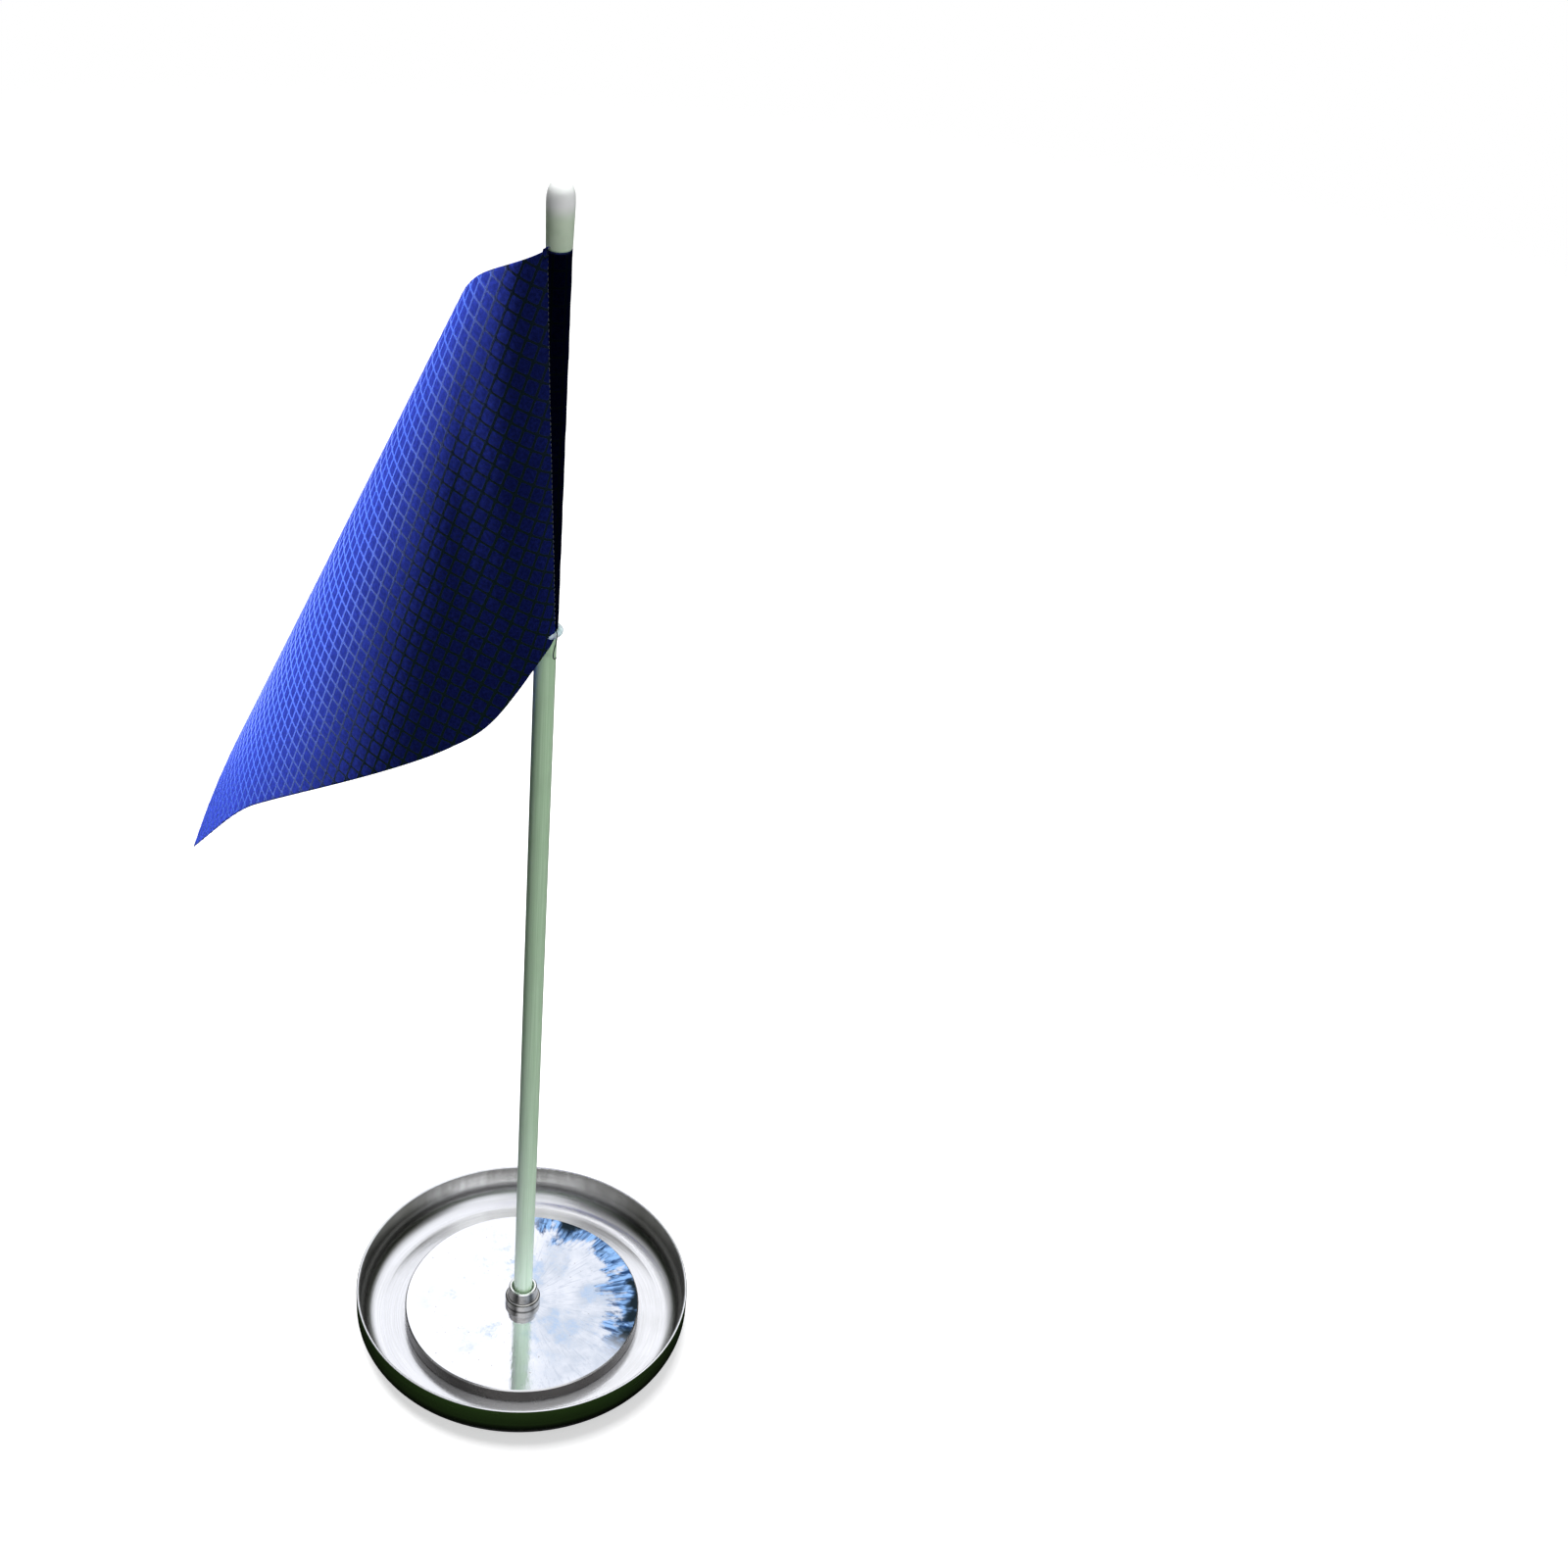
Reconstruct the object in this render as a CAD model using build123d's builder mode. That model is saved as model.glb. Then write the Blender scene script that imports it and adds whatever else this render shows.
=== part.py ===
from build123d import *
import os
from math import atan2, cos, exp, radians, sin, tan

# Tabletop putting-practice flagstick: a shallow spun-steel cup with a weight disc bolted
# in it, and a slim rod that stands in a collar and carries a small ripstop flag.
# Millimetres. The origin is on the ground, on the rod's axis; +Z is up, -X is the fly.

# ---- cup ----
CUP_RADIUS = 54.0          # a regulation hole is 108 mm across
CUP_WALL = 0.8
CUP_CORNER = 8.0           # outside radius of the turned-up corner
RIM_ROUND = 0.32           # both edges of the rim are rolled over by this much
RIM_Z = 16.0
PAD_THICKNESS = 1.5        # anti-slip foam pad under the cup
PAD_RADIUS = 45.0
POCKET_RADIUS = 4.6        # blind pocket that hides the fixing screw's head
POCKET_DEPTH = 1.1
CUP_FLOOR_Z = PAD_THICKNESS + CUP_WALL

# ---- weight disc ----
DISC_RADIUS = 38.4
DISC_THICKNESS = 5.2
DISC_EDGE = 0.4
DISC_BORE_RADIUS = 4.1
DISC_TOP_Z = CUP_FLOOR_Z + DISC_THICKNESS

# ---- rod and its collar ----
ROD_RADIUS = 3.0
RUNNING_CLEARANCE = 0.05
SOCKET_RADIUS = ROD_RADIUS + RUNNING_CLEARANCE
SOCKET_FLOOR_Z = 5.4
FLANGE_RADIUS = 5.7
FLANGE_HEIGHT = 3.0
FLANGE_ROUND = 0.7
BARREL_TOP_RADIUS = 4.55
BARREL_HEIGHT = 3.9
MOUTH_RADIUS = 3.75        # countersunk lead-in round the rod
MOUTH_DEPTH = 0.7
LIP_CHAMFER = 0.3
SHANK_RADIUS = 4.0         # part of the collar that passes down through the disc
SHANK_GAP = 0.2            # leaves the flange, not the shank, to clamp the disc
COLLAR_BASE_Z = CUP_FLOOR_Z + SHANK_GAP
FLANGE_TOP_Z = DISC_TOP_Z + FLANGE_HEIGHT
COLLAR_TOP_Z = FLANGE_TOP_Z + BARREL_HEIGHT

# ---- fixing screw, up from below ----
SCREW_RADIUS = 2.0
SCREW_CLEARANCE = 0.15     # round the shank where it passes the cup floor
SCREW_TIP_Z = 5.0
SCREW_TIP_CHAMFER = 0.4
TAPPED_DEPTH_SPARE = 0.05   # the tapped hole goes this far past the screw's tip
HEAD_RADIUS = 4.0
HEAD_HEIGHT = 1.0
HEX_ACROSS_FLATS = 2.5
HEX_DEPTH = 0.7

# ---- stick ----
ROD_SEAT_GAP = 0.1
ROD_BASE_Z = SOCKET_FLOOR_Z + ROD_SEAT_GAP
ROD_TOP_Z = 386.0
ROD_CHAMFER = 0.3
CAP_BASE_Z = 372.2
CAP_TOP_Z = 389.0
CAP_WIDEST_Z = 382.0
CAP_BASE_RADIUS = 3.3
CAP_WIDEST_RADIUS = 3.55
CAP_SHOULDER_RADIUS = 3.05  # the dome passes through this radius
CAP_SHOULDER_DROP = 2.2    # at this distance below its top

# ---- flag ----
SLEEVE_BASE_Z = 266.3
SLEEVE_TOP_Z = 371.8
SLEEVE_INNER_RADIUS = ROD_RADIUS + RUNNING_CLEARANCE
SLEEVE_OUTER_RADIUS = 3.35
HOIST = SLEEVE_TOP_Z - SLEEVE_BASE_Z
CLOTH = 0.6                # the panel's stand-in thickness
HOIST_GAP = 0.1            # keeps the panel's own solid out of the sleeve's
APEX_RISE = 30.4           # the panel curls round a cone whose tip is this far above the hoist
CONE_HALF_ANGLE = 18.0
LEAVING_ANGLE = 8.0        # the panel leaves the rod this far towards -Y from -X
TOP_EDGE_SLOPE = 29.0      # both free edges fall away from the hoist, in the flat
LOWER_EDGE_SLOPE = 32.4
LOWER_EDGE_DROP = 28.8     # the lower edge first swings down by this much
DROP_START = 2.2           # from here, which keeps the cloth outside the stop ring,
DROP_RUN = 5.5             # over about this distance
TAIL_START = 100.0         # past this distance out the lower edge bends down again,
TAIL_RUN = 38.0            # over about this distance,
TAIL_DROP = 8.0            # by this much
FLY_TOP = (163.0, 92.3)    # flat place of the upper fly corner: out from the hoist, down
FLY_FOOT = (158.0, 240.3)  # and of the lower one
FLY_CORNER_CUT = 0.012     # radians, so the last strip keeps some length
STRIPS = 14
REACH_STEPS = 20           # rounds of the fixed-point search for the lower edge

# ---- flag trim ----
RING_SECTION = 0.8         # section radius of the clear stop ring
RING_GAP = 0.3
RING_RADIUS = ROD_RADIUS + RUNNING_CLEARANCE + RING_SECTION
RING_Z = SLEEVE_BASE_Z - RING_GAP - RING_SECTION
SEAM_ANGLE = 228.0         # where round the rod the stitching shows, from +X
SEAM_WIDTH = 0.8
SEAM_HEIGHT = 0.25
SEAM_END = 1.5
TAB_WIDTH = 2.4
TAB_THICKNESS = 0.7
TAB_HEIGHT = 3.2
TAB_ROUND = 0.3
TAB_ANGLE = SEAM_ANGLE - 14
THREAD_RADIUS = 0.2
THREAD_ANGLE = 262.0
THREAD_OUT = 5.2           # hangs this far from the axis, outside the ring
THREAD_LENGTH = 7.5
THREAD_BEND = 0.5
THREAD_START = 1.0         # leaves the hem this far above its lower end
THREAD_SAG = 0.6           # drops this far on its way out
THREAD_TWIST = 3.0         # and turns by these angles about the rod as it hangs
THREAD_CURL = 14.0
THREAD_CURL_DROP = 1.0

os.makedirs("parts", exist_ok=True)


def save(piece, name):
    piece.part.label = name
    export_step(piece.part, f"parts/{name}.step")


def polar(radius, angle_deg, z):
    """A point at a radius and an angle about the rod's axis."""
    angle = radians(angle_deg)
    return (radius * cos(angle), radius * sin(angle), z)


# ------------------------------------------------------------------ base
with BuildPart() as foot_pad:
    with BuildSketch():
        Circle(PAD_RADIUS)
    extrude(amount=PAD_THICKNESS)
    with Locations((0, 0, PAD_THICKNESS)):
        Hole(POCKET_RADIUS, depth=POCKET_DEPTH)
save(foot_pad, "foot_pad")

with BuildPart() as cup_pan:
    with BuildSketch(Plane.XY.offset(PAD_THICKNESS)):
        Circle(CUP_RADIUS)
    extrude(amount=RIM_Z - PAD_THICKNESS)
    fillet(cup_pan.edges().filter_by(GeomType.CIRCLE).sort_by(Axis.Z)[0], radius=CUP_CORNER)
    offset(amount=-CUP_WALL, openings=cup_pan.faces().sort_by(Axis.Z)[-1])
    fillet(cup_pan.edges().group_by(Axis.Z)[-1], radius=RIM_ROUND)
    with Locations((0, 0, CUP_FLOOR_Z)):
        Hole(SCREW_RADIUS + SCREW_CLEARANCE, depth=CUP_WALL)
save(cup_pan, "cup_pan")

with BuildPart() as weight_disc:
    with BuildSketch(Plane.XY.offset(CUP_FLOOR_Z)):
        Circle(DISC_RADIUS)
        Circle(DISC_BORE_RADIUS, mode=Mode.SUBTRACT)
    extrude(amount=DISC_THICKNESS)
    rims = weight_disc.edges().filter_by(GeomType.CIRCLE).sort_by(SortBy.RADIUS)[-2:]
    chamfer(rims, length=DISC_EDGE)
save(weight_disc, "weight_disc")

with BuildPart() as socket_collar:
    with BuildSketch(Plane.XZ):
        with BuildLine():
            Polyline(
                (0, COLLAR_BASE_Z),
                (SHANK_RADIUS, COLLAR_BASE_Z),
                (SHANK_RADIUS, DISC_TOP_Z),
                (FLANGE_RADIUS, DISC_TOP_Z),
                (FLANGE_RADIUS, FLANGE_TOP_Z - FLANGE_ROUND),
            )
            RadiusArc(
                (FLANGE_RADIUS, FLANGE_TOP_Z - FLANGE_ROUND),
                (FLANGE_RADIUS - FLANGE_ROUND, FLANGE_TOP_Z),
                -FLANGE_ROUND,
            )
            Polyline(
                (FLANGE_RADIUS - FLANGE_ROUND, FLANGE_TOP_Z),
                (BARREL_TOP_RADIUS, COLLAR_TOP_Z - LIP_CHAMFER),
                (BARREL_TOP_RADIUS - LIP_CHAMFER, COLLAR_TOP_Z),
                (MOUTH_RADIUS, COLLAR_TOP_Z),
                (SOCKET_RADIUS, COLLAR_TOP_Z - MOUTH_DEPTH),
                (SOCKET_RADIUS, SOCKET_FLOOR_Z),
                (0, SOCKET_FLOOR_Z),
                (0, COLLAR_BASE_Z),
            )
        make_face()
    revolve(axis=Axis.Z)
    with Locations(Location((0, 0, COLLAR_BASE_Z), (180, 0, 0))):
        Hole(SCREW_RADIUS, depth=SCREW_TIP_Z - COLLAR_BASE_Z + TAPPED_DEPTH_SPARE)
save(socket_collar, "socket_collar")

with BuildPart() as base_screw:
    with BuildSketch(Plane.XY.offset(PAD_THICKNESS - HEAD_HEIGHT)):
        Circle(HEAD_RADIUS)
    extrude(amount=HEAD_HEIGHT)
    with BuildSketch(Plane.XY.offset(PAD_THICKNESS)):
        Circle(SCREW_RADIUS)
    extrude(amount=SCREW_TIP_Z - PAD_THICKNESS)
    tip = base_screw.edges().filter_by(GeomType.CIRCLE).sort_by(Axis.Z)[-1]
    chamfer(tip, length=SCREW_TIP_CHAMFER)
    with BuildSketch(Plane.XY.offset(PAD_THICKNESS - HEAD_HEIGHT)):
        RegularPolygon(HEX_ACROSS_FLATS / 2, 6, major_radius=False)
    extrude(amount=HEX_DEPTH, mode=Mode.SUBTRACT)
save(base_screw, "base_screw")

# ------------------------------------------------------------------ stick
with BuildPart() as flagstick_rod:
    with BuildSketch(Plane.XY.offset(ROD_BASE_Z)):
        Circle(ROD_RADIUS)
    extrude(amount=ROD_TOP_Z - ROD_BASE_Z)
    chamfer(flagstick_rod.edges().filter_by(GeomType.CIRCLE), length=ROD_CHAMFER)
save(flagstick_rod, "flagstick_rod")

with BuildPart() as end_cap:
    with BuildSketch(Plane.XZ):
        with BuildLine():
            wall = Line((CAP_BASE_RADIUS, CAP_BASE_Z), (CAP_WIDEST_RADIUS, CAP_WIDEST_Z))
            Spline(
                (CAP_WIDEST_RADIUS, CAP_WIDEST_Z),
                (CAP_SHOULDER_RADIUS, CAP_TOP_Z - CAP_SHOULDER_DROP),
                (0, CAP_TOP_Z),
                tangents=((0, 1), (-1, 0)),
            )
            Polyline(
                (0, CAP_TOP_Z),
                (0, ROD_TOP_Z),
                (ROD_RADIUS, ROD_TOP_Z),
                (ROD_RADIUS, CAP_BASE_Z),
                wall @ 0,
            )
        make_face()
    revolve(axis=Axis.Z)
save(end_cap, "end_cap")

with BuildPart() as stop_ring:
    with BuildSketch(Plane.XZ):
        with Locations((RING_RADIUS, RING_Z)):
            Circle(RING_SECTION)
    revolve(axis=Axis.Z)
save(stop_ring, "stop_ring")

# ------------------------------------------------------------------ flag
with BuildPart() as flag_sleeve:
    with BuildSketch(Plane.XY.offset(SLEEVE_BASE_Z)):
        Circle(SLEEVE_OUTER_RADIUS)
        Circle(SLEEVE_INNER_RADIUS, mode=Mode.SUBTRACT)
    extrude(amount=HOIST)
save(flag_sleeve, "flag_sleeve")


def cone_frame(turn):
    """Direction of the ruling `turn` radians from the hoist in the flat, and the way across it."""
    half = radians(CONE_HALF_ANGLE)
    leave = radians(LEAVING_ANGLE)
    down = Vector(0, 0, -1)
    across = Vector(-cos(leave), -sin(leave), 0)
    inward = Vector(-sin(leave), cos(leave), 0)
    axis = down * cos(half) + inward * sin(half)
    start = down * sin(half) - inward * cos(half)
    around = turn / sin(half)
    ruling = axis * cos(half) + (start * cos(around) + across * sin(around)) * sin(half)
    tangent = across * cos(around) - start * sin(around)
    return ruling, tangent


def top_reach(turn):
    """Distance from the cone's tip to the flag's upper edge, along a ruling."""
    return APEX_RISE / (cos(turn) - sin(turn) * tan(radians(TOP_EDGE_SLOPE)))


def lower_reach(turn):
    """Distance from the cone's tip to the lower edge or the fly edge, whichever is nearer."""
    slope = tan(radians(LOWER_EDGE_SLOPE))
    reach = APEX_RISE + HOIST
    for _ in range(REACH_STEPS):
        out = max(0, reach * sin(turn) - DROP_START)
        tail = max(0, out + DROP_START - TAIL_START)
        swing = LOWER_EDGE_DROP * (1 - exp(-out / DROP_RUN))
        swing += TAIL_DROP * (1 - exp(-(tail / TAIL_RUN) ** 2))
        reach = (APEX_RISE + HOIST + out * slope + swing) / cos(turn)
    run = FLY_TOP[0] - FLY_FOOT[0]
    rise = FLY_TOP[1] - FLY_FOOT[1]
    fly = (rise * FLY_FOOT[0] - run * (FLY_FOOT[1] + APEX_RISE)) / (rise * sin(turn) - run * cos(turn))
    return min(reach, fly)


cone_tip = Vector(-SLEEVE_OUTER_RADIUS - HOIST_GAP, 0, SLEEVE_TOP_Z + APEX_RISE)
first_turn = DROP_START / (APEX_RISE + HOIST)
last_turn = atan2(FLY_TOP[0], FLY_TOP[1] + APEX_RISE) - FLY_CORNER_CUT
turns = [0] + [first_turn + (last_turn - first_turn) * i / STRIPS for i in range(STRIPS + 1)]
with BuildPart() as flag_panel:
    for turn in turns:
        ruling, tangent = cone_frame(turn)
        near = top_reach(turn)
        far = lower_reach(turn)
        middle = cone_tip + ruling * ((near + far) / 2)
        with BuildSketch(Plane(origin=middle, x_dir=ruling, z_dir=tangent)):
            Rectangle(far - near, CLOTH)
    loft(ruled=True)
save(flag_panel, "flag_panel")

# ------------------------------------------------------------------ flag trim
seam_plane = Plane(
    origin=polar(SLEEVE_OUTER_RADIUS, SEAM_ANGLE, SLEEVE_BASE_Z + SEAM_END),
    x_dir=polar(1, SEAM_ANGLE + 90, 0),
    z_dir=(0, 0, 1),
)
with BuildPart() as hoist_seam:
    with BuildSketch(seam_plane):
        Rectangle(SEAM_WIDTH, SEAM_HEIGHT * 2)
    extrude(amount=HOIST - 2 * SEAM_END)
    with BuildSketch(Plane.XY.offset(SLEEVE_BASE_Z)):
        Circle(SLEEVE_OUTER_RADIUS)
    extrude(amount=HOIST, mode=Mode.SUBTRACT)
save(hoist_seam, "hoist_seam")

tab_plane = Plane(
    origin=polar(SLEEVE_OUTER_RADIUS + TAB_WIDTH / 2, TAB_ANGLE, SLEEVE_TOP_Z - TAB_HEIGHT),
    x_dir=polar(1, TAB_ANGLE, 0),
    z_dir=(0, 0, 1),
)
with BuildPart() as corner_tab:
    with BuildSketch(tab_plane):
        Rectangle(TAB_WIDTH, TAB_THICKNESS)
    extrude(amount=TAB_HEIGHT)
    fillet(corner_tab.edges().filter_by(Axis.Z), radius=TAB_ROUND)
save(corner_tab, "corner_tab")

thread_start_z = SLEEVE_BASE_Z + THREAD_START
thread_end_z = thread_start_z - THREAD_LENGTH
with BuildPart() as thread_tail:
    with BuildLine() as thread_path:
        FilletPolyline(
            polar(SLEEVE_OUTER_RADIUS, THREAD_ANGLE, thread_start_z),
            polar(THREAD_OUT, THREAD_ANGLE, thread_start_z - THREAD_SAG),
            polar(THREAD_OUT, THREAD_ANGLE + THREAD_TWIST, thread_end_z),
            polar(THREAD_OUT, THREAD_ANGLE + THREAD_CURL, thread_end_z - THREAD_CURL_DROP),
            radius=THREAD_BEND,
        )
    with BuildSketch(Plane(origin=thread_path.line @ 0, z_dir=thread_path.line % 0)):
        Circle(THREAD_RADIUS)
    sweep()
save(thread_tail, "thread_tail")
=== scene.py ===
import math
import random

import bpy
import numpy as np
from mathutils import Matrix, Vector


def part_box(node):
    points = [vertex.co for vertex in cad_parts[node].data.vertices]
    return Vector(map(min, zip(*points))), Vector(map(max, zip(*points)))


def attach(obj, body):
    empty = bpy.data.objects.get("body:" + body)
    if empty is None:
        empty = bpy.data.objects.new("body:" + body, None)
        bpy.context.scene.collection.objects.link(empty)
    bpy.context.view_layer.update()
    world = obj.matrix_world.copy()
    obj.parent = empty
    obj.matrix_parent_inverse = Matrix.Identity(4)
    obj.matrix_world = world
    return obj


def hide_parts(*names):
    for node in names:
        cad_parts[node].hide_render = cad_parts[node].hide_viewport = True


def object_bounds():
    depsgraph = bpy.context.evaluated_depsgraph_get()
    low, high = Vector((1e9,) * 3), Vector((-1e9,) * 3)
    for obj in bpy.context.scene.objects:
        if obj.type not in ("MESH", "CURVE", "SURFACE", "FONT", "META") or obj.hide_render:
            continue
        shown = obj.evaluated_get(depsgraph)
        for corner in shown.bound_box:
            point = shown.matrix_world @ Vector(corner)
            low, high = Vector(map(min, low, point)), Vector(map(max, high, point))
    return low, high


# Looks of the putting-practice flagstick. Metres and radians, in the CAD frame:
# origin on the ground at the rod's axis, +Z up, the flag flies towards -X.

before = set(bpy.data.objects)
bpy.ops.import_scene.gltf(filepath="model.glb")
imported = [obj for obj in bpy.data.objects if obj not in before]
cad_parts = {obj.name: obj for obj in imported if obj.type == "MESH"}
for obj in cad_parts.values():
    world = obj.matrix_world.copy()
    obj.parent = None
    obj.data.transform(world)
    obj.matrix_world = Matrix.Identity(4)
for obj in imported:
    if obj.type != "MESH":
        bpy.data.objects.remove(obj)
cad_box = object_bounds()
MM = 0.001

# ---- camera: it looks down at the cup's rim, then pans right and tilts up from there ----
LENS = 51.75
RIM_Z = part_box("cup_pan")[1].z
CUP_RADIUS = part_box("cup_pan")[1].x
DISC_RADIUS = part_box("weight_disc")[1].x
DISC_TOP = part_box("weight_disc")[1].z
COLLAR_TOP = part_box("socket_collar")[1].z
CAMERA_DISTANCE = 0.7647
CAMERA_ELEVATION = math.radians(46.938)
CAMERA_ROLL = math.radians(0.617)
CAMERA_PAN = 0.112507
CAMERA_TILT = 0.217362

# ---- flag: a flat cut curled round a cone whose tip is above the hoist ----
SLEEVE_LOW, SLEEVE_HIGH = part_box("flag_sleeve")
SLEEVE_TOP = SLEEVE_HIGH.z
SLEEVE_BASE = SLEEVE_LOW.z
HOIST = SLEEVE_TOP - SLEEVE_BASE
APEX_RISE = 30.4 * MM
CONE_TIP = np.array([SLEEVE_LOW.x - 0.1 * MM, 0, SLEEVE_TOP + APEX_RISE])
CONE_HALF_ANGLE = math.radians(18)
LEAVING_ANGLE = math.radians(8)
TOP_EDGE_SLOPE = math.radians(29)
LOWER_EDGE_SLOPE = math.radians(32.4)
LOWER_EDGE_START = 132.9 * MM      # where the lower edge's straight stretch would meet the hoist
CORNER_LIFT = 22 * MM              # the lower corner is cut this much higher,
CORNER_MIDDLE = 6.5 * MM           # swinging down to the straight stretch here
CORNER_RUN = 4 * MM
TAIL_START = 100 * MM              # towards the fly the lower edge swings down again,
TAIL_RUN = 38 * MM
TAIL_DROP = 8 * MM                 # by this much in the end
FLY_TOP = (163 * MM, 92.3 * MM)    # flat place of the fly corners: out from the hoist, down
FLY_FOOT = (158 * MM, 240.3 * MM)

# The sewn line turns round the rod from its front left at the top to its front right below.
SEAM_RADIUS = 3.55 * MM
SEAM_TURN = (math.radians(42), math.radians(130))      # from -X towards -Y, top and bottom
SEAM_LEAVING = (math.radians(8), math.radians(58))     # the way the cloth leaves it
SEAM_OUT = (-0.9 * MM, -6.6 * MM)                      # its flat place, out from the hoist
WRAP_END = 22 * MM                                     # from here out, the cloth is the cone

# ---- ripstop ----
GRID_LEAN = math.radians(18.4)     # the grid's long lines lean outward from the hoist
GRID_LONG = 4.5 * MM               # pitch of the crossing lines, measured along the long ones
GRID_ACROSS = 3.67 * MM
CORD_HALF = 0.35 * MM
CLOTH_HALF = 0.06 * MM
CORD_PROUD = 0.07 * MM
CELL_PUFF = 0.12 * MM
YARN = 0.24 * MM

# ---- sleeve: a tube, pinched out along the seam, with slight creases ----
SLEEVE_RINGS, SLEEVE_SPOKES = 110, 64
SLEEVE_INNER = 3.08 * MM
SLEEVE_OUTER = 3.28 * MM
SLEEVE_UNROLLED = 3.3 * MM         # radius that the weave is laid out at
PINCH = 0.28 * MM
PINCH_SPREAD = 0.2                 # radians round the rod
CREASE = 0.05 * MM
CREASE_LOBES, CREASE_TWIST, CREASE_WAVES = 3, 55, 17

# ---- stitches ----
STITCH_PITCH = 1.45 * MM
STITCH_LENGTH = 1.0 * MM
STITCH_VARIES = (0.9, 1.08)        # one stitch's length beside another's
STITCH_RADIUS = 0.13 * MM
STITCH_FLATNESS = 0.8
STITCH_SIDES = 6
STITCH_START = 1.2 * MM            # from the top of the hoist to the first one
STITCH_AIM = 0.5 * MM              # each points at the sewn line this much further down
STITCH_MARGIN = 2 * MM             # of the hoist's length that has none
STITCH_LINE = SEAM_RADIUS + 0.12 * MM
STITCH_PROFILE = (                 # along it in lengths, and how thick it is there in radii
    (-0.5, 0.05), (-0.42, 0.7), (-0.2, 1.0), (0.2, 1.0), (0.42, 0.7), (0.5, 0.05),
)

# ---- corner tab: a scrap of the cloth folded over itself beside the cap ----
TAB_ROWS, TAB_COLUMNS = 14, 8
TAB_WIDTH = 1.5 * MM
TAB_LENGTH = 3 * MM
TAB_FOOT = Vector((-0.2, -0.3, -1.6)) * MM     # from the top of the sewn line
TAB_SPREAD = (0.75, 0.35)                      # how its width runs, to -X and to -Y
TAB_FOLD = math.pi * 1.15
TAB_BULGE = 0.5 * MM
TAB_RISE = 2.6 * MM
TAB_RISE_TURN = math.pi * 0.62
TAB_WAVE = 0.15 * MM
TAB_WAVES = 5
TAB_FACING = Vector((-0.55, -0.8, 0.1)).normalized()
TAB_HALF = 0.12 * MM

# ---- loose thread ----
THREAD_RADIUS = 0.16 * MM
THREAD_PATH = (                    # millimetres, with height from the sleeve's foot
    (2.7, -3.0, 0.9), (2.9, -3.7, 0.3), (3.0, -4.9, -0.6), (2.7, -5.2, -2.4),
    (2.2, -5.3, -4.6), (2.1, -5.2, -6.6), (2.6, -5.1, -7.3), (3.0, -5.0, -6.6),
)

# ---- where the metal and the cap change colour, most of it painted reflection, shade and highlight ----
WALL_STARTS = (6 * MM, 11 * MM)                # heights inside the cup
SHADE_STARTS = (2.6 * MM, 4.6 * MM)
SKY_REFLECTION_REACH = (0.0555, 0.0610)               # radius on the disc, with noise added to it
TREE_REFLECTION_FROM = (0.030, 0.036)
SMEARS_WITHIN = (0.038, 0.014)
DOME_HIGHLIGHT_STARTS = (0.379, 0.384)

# ---- colours, linear ----
SPUN_DULL, SPUN_BRIGHT = (0.80, 0.80, 0.81, 1), (0.93, 0.93, 0.95, 1)
SPUN_SMUDGE = (0.60, 0.59, 0.58, 1)
# painted reflection on the upper wall inside the cup: light and dark streaks, and broad darker patches
WALL_DULL, WALL_BRIGHT = (0.72, 0.71, 0.68, 1), (1.0, 1.0, 0.97, 1)
WALL_DARK_REFLECTION = (0.16, 0.16, 0.13, 1)
# painted shade, low on the left and right of the wall inside the cup
WALL_SHADE = (0.085, 0.085, 0.065, 1)
DISC_STEEL, DISC_SCORE = (0.92, 0.92, 0.95, 1), (0.42, 0.47, 0.56, 1)
# the first is painted reflection: a darker, bluer wash on the disc's right half
DISC_DARK_REFLECTION, DISC_SMEAR = (0.52, 0.57, 0.64, 1), (0.42, 0.56, 0.76, 1)
DISC_SPECK = (0.25, 0.22, 0.2, 1)
# the side colour is painted shade
DISC_EDGE, DISC_SIDE_SHADE = (0.85, 0.84, 0.83, 1), (0.09, 0.085, 0.08, 1)
# painted reflection of blue sky and dark trees inside the disc's right edge
SKY_REFLECTION_DEEP, SKY_REFLECTION_PALE = (0.02, 0.06, 0.16, 1), (0.30, 0.52, 0.88, 1)
TREE_REFLECTION = (0.012, 0.022, 0.030, 1)
TURNED_PALE, TURNED_WORN = (0.50, 0.49, 0.46, 1), (0.30, 0.29, 0.27, 1)
# painted highlight on the collar's top edge, and painted shade at its foot
TURNED_LIP_HIGHLIGHT, TURNED_FOOT_SHADE = (0.92, 0.92, 0.90, 1), (0.04, 0.04, 0.035, 1)
ROD_DARK, ROD_PALE = (0.40, 0.58, 0.38, 1), (0.50, 0.68, 0.48, 1)
ROD_CLOUD = (0.38, 0.53, 0.36, 1)
CAP_DARK, CAP_PALE = (0.52, 0.68, 0.47, 1), (0.60, 0.76, 0.55, 1)
# painted highlight on the cap's dome
CAP_DOME_HIGHLIGHT = (0.95, 1.0, 0.96, 1)
FOAM_PIT, FOAM_SKIN = (0.006, 0.006, 0.006, 1), (0.03, 0.03, 0.028, 1)
RUBBER_CLOUD, RUBBER_CLEAR = (0.72, 0.90, 0.92, 1), (0.92, 0.98, 1.0, 1)
FLAG_CLOTH = ((0.036, 0.060, 0.46, 1), (0.064, 0.105, 0.80, 1), (0.09, 0.12, 0.36, 1))
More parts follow.
